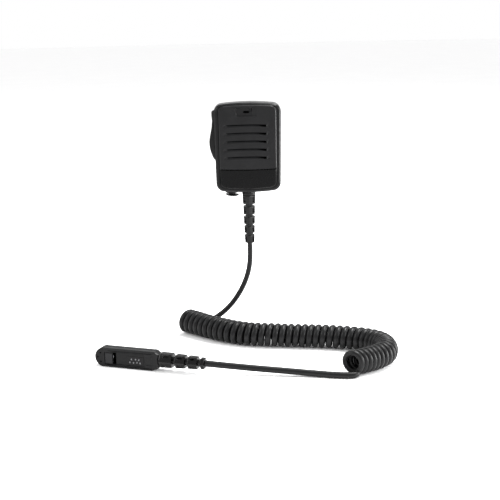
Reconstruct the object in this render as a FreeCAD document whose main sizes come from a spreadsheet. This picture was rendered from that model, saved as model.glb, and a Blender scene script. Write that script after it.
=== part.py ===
import FreeCAD, Part
import math
import os
import re
import Sketcher

# Hand microphone: a speaker microphone head with a push-to-talk bar and a lapel clip, a curly cord and a
# multi-contact side connector.  Millimetres.  +Z is up, the front of the head faces -Y.  The origin is on the
# rear face of the head, on the axis about which the clip swivels.

Vector = FreeCAD.Vector
Rotation = FreeCAD.Rotation
Placement = FreeCAD.Placement

SIZES = {
    # outline of the head, seen from the front
    "head_top_width": 60.8,
    "head_low_width": 58.4,
    "head_top": 35.2,
    "head_low": 41.8,
    "top_crown": 2.1,
    "low_bow": 2.0,
    "corner_radius": 7.5,
    # depths, counted forward from the rear face
    "parting": 8.0,
    "front_depth": 16.0,
    "wall": 2.0,
    "gasket_inset": 2.2,
    "rim_bevel": 1.5,
    "back_bevel": 4.2,
    # front panels
    "panel_top_width": 51.8,
    "panel_low_width": 51.2,
    "panel_top": 34.3,
    "panel_low": 38.8,
    "panel_crown": 1.1,
    "panel_bow": 1.7,
    "panel_corner": 5.0,
    "panel_raise": 2.0,
    "panel_bevel": 0.8,
    "seam_height": 21.4,
    "seam_bow": 1.6,
    "seam_gap": 0.4,
    # sound slots
    "slot_length": 40.4,
    "slot_height": 1.5,
    "slot_pitch": 7.2,
    "slot_first": -12.0,
    "slot_lip": 1.3,
    "slot_lip_depth": 1.1,
    # speaker
    "speaker_height": 2.0,
    "speaker_radius": 17.4,
    "speaker_opening": 15.5,
    "magnet_radius": 9.0,
    "magnet_length": 4.2,
    # microphone
    "mic_height": 29.2,
    "mic_radius": 3.0,
    "boot_radius": 4.2,
    "port_radius": 1.1,
    # push-to-talk bar
    "ptt_low": 15.4,
    "ptt_top": 30.6,
    "ptt_nub": 32.2,
    "ptt_dip": 31.8,
    "ptt_bulge": 34.8,
    "ptt_inner": 26.3,
    "ptt_front": 19.8,
    "ptt_width": 8.4,
    "ptt_gap": 0.3,
    # screw posts of the case
    "post_x": 19.5,
    "post_x_low": 21.5,
    "post_top": 30.0,
    "post_low": 33.5,
    "post_radius": 2.4,
    "screw_radius": 1.1,
    # cord entry and earpiece socket, both on the underside
    "entry_depth": 14.5,
    "entry_radius": 4.5,
    "jack_x": 15.3,
    "jack_bore": 1.8,
    "jack_length": 14.0,
    "jack_radius": 3.4,
    "jack_face": 42.4,
    "bezel_face": 44.6,
    "cap_radius": 5.7,
    "cap_hinge_depth": 6.6,
    "cap_hinge_low": 46.0,
    # clip
    "clip_disc": 11.0,
    "clip_disc_thick": 3.0,
    "clip_gap": 0.3,
    "spigot_radius": 4.5,
    "spigot_clear": 0.06,
    "hinge_back": 7.0,
    "hinge_high": 12.0,
    "hinge_radius": 1.25,
    "hinge_clear": 0.05,
    "jaw_width": 18.0,
    # cord
    "cord_diameter": 5.0,
    "coil_diameter": 21.0,
    # connector, in its own frame: x towards the nose, y out of the broad face, z up
    "plug_length": 60.0,
    "plug_height": 16.8,
    "plug_thick": 10.0,
}

PLUG_ANGLE = 161.0
PLUG_AT = Vector(-76.0, -127.2, -167.6)
HEAD_FRAME = Placement()
PLUG_FRAME = Placement(PLUG_AT, Rotation(Vector(0, 0, 1), PLUG_ANGLE))

# Route of the free cord.  The first list hangs from the head to the coil, the second is the axis of the coil,
# the third lies on the surface between the coil and the connector.
HEAD_TAIL = [
    (0.0, -14.5, -92.0),
    (0.5, -14.5, -108.0),
    (-2.2, -14.3, -125.0),
    (-10.2, -13.8, -142.0),
    (-22.0, -13.2, -157.0),
    (-38.5, -12.4, -168.0),
    (-55.5, -16.2, -172.6),
]
COIL_AXIS = [
    (-60.0, -20.5, -165.5),
    (-37.5, -42.0, -165.5),
    (-12.0, -61.5, -165.5),
    (22.0, -68.5, -165.5),
    (58.0, -72.5, -165.5),
    (97.5, -82.5, -165.5),
    (114.4, -100.0, -165.5),
    (113.5, -124.0, -165.5),
    (98.0, -139.5, -165.5),
    (81.5, -148.5, -165.5),
]
PLUG_TAIL = [
    (92.0, -150.0, -172.4),
    (79.0, -158.5, -173.4),
    (60.0, -153.8, -173.4),
    (38.0, -149.2, -172.5),
    (14.0, -146.5, -170.8),
    (-13.0, -145.0, -168.4),
    (-39.0, -139.9, -166.4),
]

doc = FreeCAD.newDocument("HandMicrophone")
sheet = doc.addObject("Spreadsheet::Sheet", "sizes")
TERM = re.compile(r"([+-]?)\s*([a-z_0-9.]+)(?:\s*/\s*([0-9.]+))?")
SUB_PARTS = []


def fill_sheet():
    for row, (alias, value) in enumerate(SIZES.items(), start=1):
        sheet.set("A%d" % row, alias.replace("_", " "))
        sheet.set("B%d" % row, str(value))
        sheet.setAlias("B%d" % row, alias)
    doc.recompute()


def value_of(text):
    """Value of a sum of aliases and numbers, such as 'wall + 1.5' or '-head_top_width/2'."""
    total = 0.0
    for sign, word, divisor in TERM.findall(str(text)):
        amount = sheet.get(word) if word in SIZES else float(word)
        amount = amount / float(divisor) if divisor else amount
        total += -amount if sign == "-" else amount
    return total


def expression(text):
    return re.sub(r"[a-z][a-z_]*", r"sizes.\g<0>", str(text))


def bind(thing, prop, text):
    if re.search("[a-z]", str(text)):
        thing.setExpression(prop, expression(text))
    else:
        setattr(thing, prop, float(text))


def sub_part(thing, label, frame=HEAD_FRAME):
    thing.Label = label
    if frame is not HEAD_FRAME:
        thing.Placement = frame.multiply(thing.Placement)
    SUB_PARTS.append(thing)
    return thing


# ---------------------------------------------------------------- sketches and PartDesign features

def new_body(name):
    return doc.addObject("PartDesign::Body", name)


def sketch_on(body, plane, offset="0"):
    """Empty sketch on one of the body's origin planes, moved along that plane's normal."""
    sketch = body.newObject("Sketcher::SketchObject", body.Name + "_sketch")
    support = [item for item in body.Origin.OriginFeatures if item.Role == plane][0]
    sketch.AttachmentSupport = [(support, "")]
    sketch.MapMode = "FlatFace"
    sketch.AttachmentOffset = Placement(Vector(0, 0, value_of(offset)), Rotation())
    if re.search("[a-z]", str(offset)):
        sketch.setExpression("AttachmentOffset.Base.z", expression(offset))
    return sketch


def constrain(sketch, kind, references, text):
    """Dimension whose datum is bound to the sheet; negative distances are measured the other way round."""
    value = value_of(text)
    if kind in ("DistanceX", "DistanceY") and value < 0:
        references = references[2:] + references[:2]
        text = "-(%s)" % text
        value = -value
    index = sketch.addConstraint(Sketcher.Constraint(kind, *references, value))
    if re.search("[a-z]", str(text)):
        sketch.setExpression("Constraints[%d]" % index, expression(text))


def pin_point(sketch, geometry, end, x, y):
    """Holds one point of a sketch at (x, y), each a text in the sheet's aliases."""
    for kind, text, axis in (("DistanceX", x, -2), ("DistanceY", y, -1)):
        if abs(value_of(text)) < 1e-9:
            sketch.addConstraint(Sketcher.Constraint("PointOnObject", geometry, end, axis))
        else:
            constrain(sketch, kind, [-1, 1, geometry, end], text)


def add_circle(sketch, x, y, radius):
    centre = Vector(value_of(x), value_of(y), 0)
    index = sketch.addGeometry(Part.Circle(centre, Vector(0, 0, 1), value_of(radius)), False)
    constrain(sketch, "Radius", [index], radius)
    pin_point(sketch, index, 3, x, y)


def add_polygon(sketch, points):
    """Closed outline of straight lines through points held at their coordinates."""
    ends = [Vector(value_of(x), value_of(y), 0) for x, y in points]
    first = None
    for number, end in enumerate(ends):
        index = sketch.addGeometry(Part.LineSegment(end, ends[(number + 1) % len(ends)]), False)
        first = index if first is None else first
        pin_point(sketch, index, 1, *points[number])
    for number in range(len(ends)):
        following = first + (number + 1) % len(ends)
        sketch.addConstraint(Sketcher.Constraint("Coincident", first + number, 2, following, 1))


def add_box(sketch, x_low, y_low, x_high, y_high):
    add_polygon(sketch, [(x_low, y_low), (x_high, y_low), (x_high, y_high), (x_low, y_high)])


def add_crowned_outline(sketch, names, inset="0"):
    """Outline with slanting sides, a crowned top and a bowed bottom, sized by six named aliases."""
    top_width, low_width, top, low, crown, bow = names
    inset_by = value_of(inset)
    half_top = value_of(top_width) / 2 - inset_by
    half_low = value_of(low_width) / 2 - inset_by
    high = value_of(top) - inset_by
    deep = value_of(low) - inset_by
    arcs = (
        (Vector(half_top, high, 0), Vector(0, high + value_of(crown), 0), Vector(-half_top, high, 0)),
        (Vector(-half_low, -deep, 0), Vector(0, -deep - value_of(bow), 0), Vector(half_low, -deep, 0)),
    )
    sketch.addGeometry(Part.Arc(*arcs[0]), False)
    sketch.addGeometry(Part.LineSegment(arcs[0][2], arcs[1][0]), False)
    sketch.addGeometry(Part.Arc(*arcs[1]), False)
    sketch.addGeometry(Part.LineSegment(arcs[1][2], arcs[0][0]), False)
    for side in range(4):
        sketch.addConstraint(Sketcher.Constraint("Coincident", side, 2, (side + 1) % 4, 1))
    for arc, width in ((0, top_width), (2, low_width)):
        sketch.addConstraint(Sketcher.Constraint("Symmetric", arc, 1, arc, 2, -2))
        left, right = (2, 1) if arc == 0 else (1, 2)
        constrain(sketch, "DistanceX", [arc, left, arc, right], "%s - %s - %s" % (width, inset, inset))
    constrain(sketch, "DistanceY", [-1, 1, 0, 1], "%s - %s" % (top, inset))
    constrain(sketch, "DistanceY", [2, 1, -1, 1], "%s - %s" % (low, inset))
    for arc, width, rise in ((0, top_width, crown), (2, low_width, bow)):
        chord = value_of(width) - 2 * inset_by
        depth = value_of(rise)
        radius = (chord ** 2 / 4 + depth ** 2) / (2 * depth)
        index = sketch.addConstraint(Sketcher.Constraint("Radius", arc, radius))
        span = "(sizes.%s - 2 * %s)" % (width, expression(inset))
        sketch.setExpression("Constraints[%d]" % index,
                             "(%s^2 / 4 + sizes.%s^2) / (2 * sizes.%s)" % (span, rise, rise))


HEAD_OUTLINE = ("head_top_width", "head_low_width", "head_top", "head_low", "top_crown", "low_bow")
PANEL_OUTLINE = ("panel_top_width", "panel_low_width", "panel_top", "panel_low", "panel_crown", "panel_bow")


def pad(body, sketch, length, backward=False, midplane=False):
    feature = body.newObject("PartDesign::Pad", body.Name + "_pad")
    feature.Profile = sketch
    bind(feature, "Length", length)
    feature.Reversed = backward
    feature.Midplane = midplane
    sketch.Visibility = False
    doc.recompute()
    return feature


def pocket(body, sketch, length, backward=False, midplane=False):
    before = body.Shape.Volume
    feature = body.newObject("PartDesign::Pocket", body.Name + "_pocket")
    feature.Profile = sketch
    bind(feature, "Length", length)
    feature.Reversed = backward
    feature.Midplane = midplane
    doc.recompute()
    if body.Shape.Volume > before - 1e-3:
        raise RuntimeError(body.Name + ": a pocket cuts nothing")
    return feature


def dress(body, kind, prop, size, picked):
    """Fillet or chamfer on the edges, or thickness on the faces, that picked chooses from the body's tip."""
    doc.recompute()
    shapes = body.Tip.Shape.Faces if kind == "Thickness" else body.Tip.Shape.Edges
    word = "Face" if kind == "Thickness" else "Edge"
    names = ["%s%d" % (word, number) for number, shape in enumerate(shapes, start=1)
             if picked(shape.BoundBox)]
    if not names:
        raise RuntimeError("%s: no place for a %s" % (body.Name, kind))
    base = body.Tip
    feature = body.newObject("PartDesign::" + kind, body.Name + "_" + kind.lower())
    feature.Base = (base, names)
    bind(feature, prop, size)
    if kind == "Thickness":
        feature.Reversed = True
    doc.recompute()
    return feature


def fillet(body, radius, picked):
    return dress(body, "Fillet", "Radius", radius, picked)


def chamfer(body, size, picked):
    return dress(body, "Chamfer", "Size", size, picked)


def hollow(body, wall, picked):
    return dress(body, "Thickness", "Value", wall, picked)


def row_of(body, feature, count, pitch):
    """Repeats a feature upwards, along the sketch's vertical axis."""
    pattern = body.newObject("PartDesign::LinearPattern", body.Name + "_row")
    pattern.Originals = [feature]
    pattern.Direction = (feature.Profile[0], ["V_Axis"])
    pattern.Occurrences = count
    pattern.Mode = "Spacing"
    bind(pattern, "Offset", pitch)
    body.Tip = pattern
    doc.recompute()
    return pattern


def runs_along_y(box):
    return box.YLength > 1 and box.XLength < 0.6 and box.ZLength < 0.6


def flat_at_y(depth, least=0.0):
    """Picks the edges that lie flat at a depth, counted forward, and are longer than the least length."""
    at = -value_of(depth)
    return lambda box: box.YLength < 1e-4 and abs(box.YMin - at) < 1e-4 and box.DiagonalLength > least


# ---------------------------------------------------------------- Part primitives and booleans

def placed(feature, at, axis):
    corner = Vector(*[value_of(c) for c in at])
    feature.Placement = Placement(corner, Rotation(Vector(0, 0, 1), Vector(*axis)))
    return feature


def cylinder(radius, length, at, axis=(0, 0, 1)):
    feature = doc.addObject("Part::Cylinder", "cylinder")
    bind(feature, "Radius", radius)
    bind(feature, "Height", length)
    return placed(feature, at, axis)


def cone(radius_from, radius_to, length, at, axis=(0, 0, 1)):
    feature = doc.addObject("Part::Cone", "cone")
    bind(feature, "Radius1", radius_from)
    bind(feature, "Radius2", radius_to)
    bind(feature, "Height", length)
    return placed(feature, at, axis)


def torus(ring_radius, wire_radius, at, axis=(0, 0, 1)):
    feature = doc.addObject("Part::Torus", "torus")
    bind(feature, "Radius1", ring_radius)
    bind(feature, "Radius2", wire_radius)
    return placed(feature, at, axis)


def box(low, high):
    """Box between two corners, each three texts in the sheet's aliases."""
    feature = doc.addObject("Part::Box", "box")
    for prop, start, end in zip(("Length", "Width", "Height"), low, high):
        bind(feature, prop, "%s - (%s)" % (end, start) if re.search("[a-z]", "%s%s" % (start, end))
             else value_of(end) - value_of(start))
    feature.Placement = Placement(Vector(*[value_of(c) for c in low]), Rotation())
    return feature


def fuse(*pieces):
    feature = doc.addObject("Part::MultiFuse", "fuse")
    feature.Shapes = list(pieces)
    return feature


def cut(base, *tools):
    feature = doc.addObject("Part::Cut", "cut")
    feature.Base = base
    feature.Tool = tools[0] if len(tools) == 1 else fuse(*tools)
    return feature


def group(*pieces):
    feature = doc.addObject("Part::Compound", "group")
    feature.Links = list(pieces)
    return feature


FORWARD = (0, -1, 0)
BACK = (0, 1, 0)
DOWN = (0, 0, -1)
RIGHT = (1, 0, 0)


def tube(outer, inner, length, at, axis):
    return cut(cylinder(outer, length, at, axis), cylinder(inner, length, at, axis))


# ---------------------------------------------------------------- the head's case

def case_outline(name, depth, inset="0"):
    """Body with the head's outline, drawn in the plane 'depth' in front of the rear face."""
    body = new_body(name)
    sketch = sketch_on(body, "XZ_Plane", depth)
    add_crowned_outline(sketch, HEAD_OUTLINE, inset)
    return body, sketch


def post_places():
    return [(side + column, row) for column, row in (("post_x", "post_top"), ("post_x_low", "-post_low"))
            for side in ("", "-")]


def make_front_cover():
    body, sketch = case_outline("front_cover", "parting")
    pad(body, sketch, "front_depth")
    fillet(body, "corner_radius", runs_along_y)
    hollow(body, "wall", flat_at_y("parting"))
    chamfer(body, "rim_bevel", flat_at_y("parting + front_depth"))
    posts = sketch_on(body, "XZ_Plane", "parting + 1")
    for x, z in post_places():
        add_circle(posts, x, z, "post_radius")
    for x in ("-7.4", "7.4"):
        add_circle(posts, x, "-36", "1.9")
    pad(body, posts, "front_depth - wall - 1 + 0.4")
    holes = sketch_on(body, "XZ_Plane", "parting + 1")
    for x, z in post_places():
        add_circle(holes, x, z, "screw_radius")
    for x in ("-7.4", "7.4"):
        add_circle(holes, x, "-36", "0.9")
    pocket(body, holes, "8", backward=True)
    lowered = sketch_on(body, "XZ_Plane", "parting + 1")
    for x in ("-7.4", "7.4"):
        add_circle(lowered, x, "-36", "2.0")
    pocket(body, lowered, "1.6", backward=True)
    openings = sketch_on(body, "XZ_Plane", "parting + front_depth")
    add_circle(openings, "0", "speaker_height", "speaker_opening")
    add_circle(openings, "0", "mic_height", "port_radius")
    pocket(body, openings, "wall + 0.5")
    window = sketch_on(body, "YZ_Plane", "-22")
    add_box(window, "-ptt_front - ptt_gap", "-ptt_low - ptt_gap", "-ptt_front + ptt_width + ptt_gap",
            "ptt_top + ptt_gap")
    pocket(body, window, "14")
    underside = sketch_on(body, "XY_Plane", "-38")
    add_circle(underside, "0", "-entry_depth", "entry_radius")
    add_circle(underside, "-jack_x", "-entry_depth", "4")
    pocket(body, underside, "8")
    sub_part(body, "front_cover")


def make_rear_cover():
    body, sketch = case_outline("rear_cover", "parting")
    pad(body, sketch, "parting", backward=True)
    fillet(body, "corner_radius", runs_along_y)
    chamfer(body, "back_bevel", flat_at_y("0"))
    hollow(body, "wall", flat_at_y("parting"))
    posts = sketch_on(body, "XZ_Plane", "wall - 0.3")
    for x, z in post_places():
        add_circle(posts, x, z, "2.95")
    pad(body, posts, "parting - wall + 0.1")
    boss = sketch_on(body, "XZ_Plane", "wall - 0.3")
    add_circle(boss, "0", "0", "8")
    pad(body, boss, "2.3")
    swivel = sketch_on(body, "XZ_Plane", "0")
    add_circle(swivel, "0", "0", "spigot_radius + spigot_clear")
    pocket(body, swivel, "6", backward=True)
    holes = sketch_on(body, "XZ_Plane", "0")
    for x, z in post_places():
        add_circle(holes, x, z, "1.4")
    pocket(body, holes, "9", backward=True)
    counterbores = sketch_on(body, "XZ_Plane", "0")
    for x, z in post_places():
        add_circle(counterbores, x, z, "2.4")
    pocket(body, counterbores, "3", backward=True)
    sub_part(body, "rear_cover")


def make_case_gasket():
    body, sketch = case_outline("case_gasket", "parting - 0.4", "gasket_inset")
    pad(body, sketch, "0.8")
    fillet(body, "corner_radius - gasket_inset", lambda b: abs(b.YLength - 0.8) < 1e-4 and b.XLength < 0.6
           and b.ZLength < 0.6)
    hollow(body, "1", lambda b: b.YLength < 1e-4)
    sub_part(body, "case_gasket")


def case_screw(x, z):
    """Pan-head screw whose shank runs forward into a post."""
    head = cylinder("2.2", "1.4", (x, "-1.5", z), FORWARD)
    shank = cylinder("0.95", "11", (x, "-2.9", z), FORWARD)
    slot = box((x + " - 1.5", "-2.0", z + " - 0.25"), (x + " + 1.5", "-1.4", z + " + 0.25"))
    return cut(fuse(head, shank), slot)


def make_case_screws():
    sub_part(group(*[case_screw(x, z) for x, z in post_places()]), "case_screws")


# ---------------------------------------------------------------- front panels and their openings

def panel_blank(name):
    body = new_body(name)
    sketch = sketch_on(body, "XZ_Plane", "parting + front_depth")
    add_crowned_outline(sketch, PANEL_OUTLINE)
    pad(body, sketch, "panel_raise")
    fillet(body, "panel_corner", runs_along_y)
    chamfer(body, "panel_bevel", flat_at_y("parting + front_depth + panel_raise"))
    return body


def seam_outline(sketch, side, gap):
    """Area above (side 1) or below (side -1) the bowed seam, for cutting a panel blank in two."""
    far = side * 60.0
    edge = -value_of("seam_height") + side * gap
    middle = edge - value_of("seam_bow")
    corners = [Vector(-40, edge, 0), Vector(40, edge, 0), Vector(40, far, 0), Vector(-40, far, 0)]
    sketch.addGeometry(Part.Arc(corners[0], Vector(0, middle, 0), corners[1]), False)
    for start, end in zip(corners[1:], corners[2:] + corners[:1]):
        sketch.addGeometry(Part.LineSegment(start, end), False)
    for number, corner in enumerate(corners):
        following = (number + 1) % 4
        sketch.addConstraint(Sketcher.Constraint("Coincident", number, 2, following, 1))
        pin_point(sketch, number, 1, str(corner.x), str(round(corner.y, 3)))
    radius = (40.0 ** 2 + value_of("seam_bow") ** 2) / (2 * value_of("seam_bow"))
    sketch.addConstraint(Sketcher.Constraint("Radius", 0, radius))


def make_grille_panel():
    body = panel_blank("grille_panel")
    lower = sketch_on(body, "XZ_Plane", "parting + front_depth - 1")
    seam_outline(lower, -1, value_of("seam_gap") / -2)
    pocket(body, lower, "panel_raise + 2", backward=True)
    front = "parting + front_depth + panel_raise"
    lip = sketch_on(body, "XZ_Plane", front)
    add_box(lip, "-slot_length/2", "slot_first - slot_height/2 - slot_lip", "slot_length/2",
            "slot_first + slot_height/2")
    row_of(body, pocket(body, lip, "slot_lip_depth"), 5, "slot_pitch")
    slot = sketch_on(body, "XZ_Plane", front)
    add_box(slot, "-slot_length/2 + 1.5", "slot_first - slot_height/2", "slot_length/2 - 1.5",
            "slot_first + slot_height/2")
    row_of(body, pocket(body, slot, "panel_raise + 1"), 5, "slot_pitch")
    recess = sketch_on(body, "XZ_Plane", front)
    add_polygon(recess, [("-9.4", "25.7"), ("8.4", "25.7"), ("8.4", "32.6"), ("-11.2", "32.6")])
    pocket(body, recess, "0.7")
    port = sketch_on(body, "XZ_Plane", front)
    add_box(port, "-2", "mic_height - 1.2", "2", "mic_height + 1.2")
    pocket(body, port, "panel_raise + 1")
    sub_part(body, "grille_panel")


def make_lower_panel():
    body = panel_blank("lower_panel")
    upper = sketch_on(body, "XZ_Plane", "parting + front_depth - 1")
    seam_outline(upper, 1, value_of("seam_gap") / -2)
    pocket(body, upper, "panel_raise + 2", backward=True)
    sub_part(body, "lower_panel")


def make_grille_cloth():
    cloth = cylinder("speaker_opening - 0.3", "0.4", ("0", "-23.4", "speaker_height"), FORWARD)
    sub_part(cloth, "grille_cloth")


# ---------------------------------------------------------------- speaker and microphone

def on_speaker_axis(y):
    return ("0", y, "speaker_height")


def make_speaker():
    sub_part(tube("speaker_radius", "speaker_radius - 1.8", "0.7", on_speaker_axis("-21.3"), FORWARD),
             "speaker_gasket")
    flange = tube("speaker_radius", "speaker_radius - 1.8", "1.1", on_speaker_axis("-20.2"), FORWARD)
    basket = cut(cone("10.2", "speaker_radius - 0.9", "4.6", on_speaker_axis("-15.6"), FORWARD),
                 cone("9.0", "speaker_radius - 2.1", "4.6", on_speaker_axis("-15.6"), FORWARD))
    plate = tube("10.2", "5", "1.0", on_speaker_axis("-14.7"), FORWARD)
    sub_part(fuse(flange, basket, plate), "speaker_frame")
    cup = cylinder("magnet_radius", "magnet_length", on_speaker_axis("-10.4"), FORWARD)
    pole = cylinder("3.4", "1.6", on_speaker_axis("-14.6"), FORWARD)
    sub_part(fuse(cup, pole), "speaker_magnet")
    paper = cut(cone("4.6", "speaker_radius - 2.6", "3.2", on_speaker_axis("-17.4"), FORWARD),
                cone("4.1", "speaker_radius - 3.1", "3.2", on_speaker_axis("-17.4"), FORWARD))
    coil_former = tube("4.6", "4.1", "1.2", on_speaker_axis("-16.3"), FORWARD)
    dust_cap = cylinder("4.6", "0.5", on_speaker_axis("-17.4"), FORWARD)
    sub_part(fuse(paper, coil_former, dust_cap), "speaker_cone")


def make_microphone():
    at = ("0", "-17.6", "mic_height")
    shell = cylinder("boot_radius", "4.4", at, FORWARD)
    seat = cylinder("mic_radius + 0.05", "3.2", at, FORWARD)
    throat = cylinder("port_radius", "4.4", at, FORWARD)
    sub_part(cut(shell, seat, throat), "mic_boot")
    sub_part(cylinder("mic_radius", "2.7", ("0", "-18.1", "mic_height"), FORWARD), "mic_capsule")


def make_boards():
    body = new_body("main_board")
    sketch = sketch_on(body, "XZ_Plane", "7.4")
    add_box(sketch, "-23", "-29.8", "23", "32.2")
    pad(body, sketch, "1.2")
    fillet(body, "3", lambda b: abs(b.YLength - 1.2) < 1e-4)
    holes = sketch_on(body, "XZ_Plane", "7.4")
    for side in ("", "-"):
        add_circle(holes, side + "post_x", "post_top", "3.5")
    pocket(body, holes, "2", backward=True)
    sub_part(body, "main_board")
    package = box(("-16", "-9.8", "-28"), ("-7", "-8.6", "-19"))
    pins = [box((str(-16 + offset), "-9.0", z), (str(-15.5 + offset), "-8.6", "%s + 0.8" % z))
            for offset in (1.0, 3.0, 5.0, 7.0) for z in ("-28.8", "-19")]
    sub_part(fuse(package, *pins), "audio_chip")


# ---------------------------------------------------------------- push-to-talk bar

def make_ptt():
    body = new_body("ptt_button")
    sketch = sketch_on(body, "XZ_Plane", "ptt_front - ptt_width")
    add_polygon(sketch, [
        ("-ptt_inner", "-ptt_low"),
        ("-ptt_inner", "ptt_top"),
        ("-ptt_nub + 2.2", "ptt_top"),
        ("-ptt_nub", "ptt_top - 1.8"),
        ("-ptt_nub - 0.2", "ptt_top - 5"),
        ("-ptt_dip", "ptt_top - 9.6"),
        ("-ptt_bulge + 1.3", "9.4"),
        ("-ptt_bulge", "2"),
        ("-ptt_bulge + 0.5", "-4.2"),
        ("-ptt_bulge + 2.5", "-10.8"),
        ("-ptt_nub + 2.2", "-ptt_low"),
    ])
    pad(body, sketch, "ptt_width")
    chamfer(body, "0.9", lambda b: b.XMax < -30.3 and b.YLength < 1e-4)
    sub_part(body, "ptt_button")
    plate = box(("-ptt_inner", "-21", "-ptt_low - 1.4"), ("-ptt_inner + 1.3", "-10.4", "ptt_top + 1"))
    opening = box(("-ptt_inner - 1", "-17.5", "20"), ("-ptt_inner + 2", "-14", "26"))
    sub_part(cut(plate, opening), "ptt_frame")
    switch = box(("-22.9", "-19", "4"), ("-19.9", "-13", "12"))
    bore = cylinder("1.06", "2.8", ("-22.95", "-16", "8"), RIGHT)
    sub_part(cut(switch, bore), "ptt_switch")
    sub_part(cylinder("1", "3.4", ("-ptt_inner + 1.3", "-16", "8"), RIGHT), "ptt_plunger")
    sub_part(box(("-19.9", "-20.6", "-4"), ("-18.7", "-9.4", "20")), "ptt_board")


# ---------------------------------------------------------------- earpiece socket and its cap

def make_earpiece_socket():
    at = ("-jack_x", "-entry_depth", "-jack_face")
    barrel = cylinder("jack_radius", "jack_length + 1.6", at)
    bore = cylinder("jack_bore", "jack_length", at)
    sub_part(cut(barrel, bore), "earpiece_jack")
    under = ("-jack_x", "-entry_depth")
    ring = cylinder("6", "0.9", under + ("-bezel_face",))
    spigot = cylinder("3.9", "2.6", under + ("-bezel_face",))
    mouth = cylinder("3.5", "3.4", under + ("-bezel_face - 0.4",))
    tab = box(("-jack_x - 3.2", "-10.2", "-bezel_face"), ("-jack_x + 3.2", "-5.3", "-bezel_face + 0.6"))
    lugs = [box(("-jack_x %s" % start, "-7.9", "-bezel_face - 2.7"),
                ("-jack_x %s" % end, "-5.3", "-bezel_face + 0.3"))
            for start, end in (("- 3.2", "- 1.7"), ("+ 1.7", "+ 3.2"))]
    pin_hole = cylinder("0.6", "8", ("-jack_x - 4", "-cap_hinge_depth", "-cap_hinge_low"), RIGHT)
    sub_part(cut(fuse(ring, spigot, tab, *lugs), mouth, pin_hole), "jack_bezel")
    sub_part(cylinder("0.6", "6.4", ("-jack_x - 3.2", "-cap_hinge_depth", "-cap_hinge_low"), RIGHT),
             "jack_cap_pin")


def make_jack_cap():
    under = ("-jack_x", "-entry_depth")
    flange = cone("4.9", "cap_radius", "1.1", under + ("-bezel_face - 3.4",))
    band = cylinder("cap_radius", "1.1", under + ("-bezel_face - 2.3",))
    neck = cylinder("3", "1.2", under + ("-bezel_face - 1.3",))
    stopper = cylinder("2.3", "1.9", under + ("-bezel_face - 0.4",))
    ear = box(("-jack_x - 1.5", "-10.2", "-bezel_face - 2.4"), ("-jack_x + 1.5", "-5.8", "-bezel_face - 0.6"))
    pin_hole = cylinder("0.66", "4", ("-jack_x - 2", "-cap_hinge_depth", "-cap_hinge_low"), RIGHT)
    sub_part(cut(fuse(flange, band, neck, stopper, ear), pin_hole), "jack_cap")


# ---------------------------------------------------------------- strain reliefs and cord clamp

def ribbed_relief(label, at, direction, core, lengths, radii, frame=HEAD_FRAME, collar=None):
    """Tapered boot: a core with thicker segments and notches between; lengths run outwards from 'at'."""
    start = Vector(*[value_of(c) for c in at])
    along = Vector(*direction)
    total = sum(lengths)
    root = (str(start.x), str(start.y), str(start.z))
    pieces = [cone(str(core[0]), str(core[1]), str(total), root, direction)]
    position = 0.0
    for number, length in enumerate(lengths):
        if number % 2 == 0:
            place = start + along * position
            pieces.append(cone(str(radii[number // 2][0]), str(radii[number // 2][1]), str(length),
                               (str(place.x), str(place.y), str(place.z)), direction))
        position += length
    pieces += collar or []
    sub_part(fuse(*pieces), label, frame)


def make_head_relief():
    entry = ("0", "-entry_depth")
    collar = [
        cylinder("entry_radius - 0.1", "3.6", entry + ("-44",)),
        cylinder("5.8", "1.6", entry + ("-41",)),
        cylinder("4", "6.6", entry + ("-41",)),
        cylinder("6.2", "4.6", entry + ("-48.4",)),
    ]
    lengths = [8.3, 1.9, 7.7, 1.9, 7.2, 1.9, 6.4, 1.9, 7.5]
    radii = [(5.9, 5.4), (5.25, 5.05), (4.95, 4.8), (4.7, 4.6), (4.45, 4.15)]
    ribbed_relief("head_strain_relief", entry + (str(-92 + sum(lengths)),), DOWN, (3.5, 3.2), lengths, radii,
                  collar=collar)
    saddle = box(("-9.4", "-10.4", "-38"), ("9.4", "-9.2", "-34"))
    holes = [cylinder("1.1", "2", (x, "-9", "-36"), FORWARD) for x in ("-7.4", "7.4")]
    sub_part(cut(saddle, *holes), "cord_clamp")
    screws = [fuse(cylinder("1.8", "1", (x, "-8.2", "-36"), FORWARD),
                   cylinder("0.85", "6.5", (x, "-9.2", "-36"), FORWARD)) for x in ("-7.4", "7.4")]
    sub_part(group(*screws), "clamp_screws")


# ---------------------------------------------------------------- lapel clip

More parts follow.
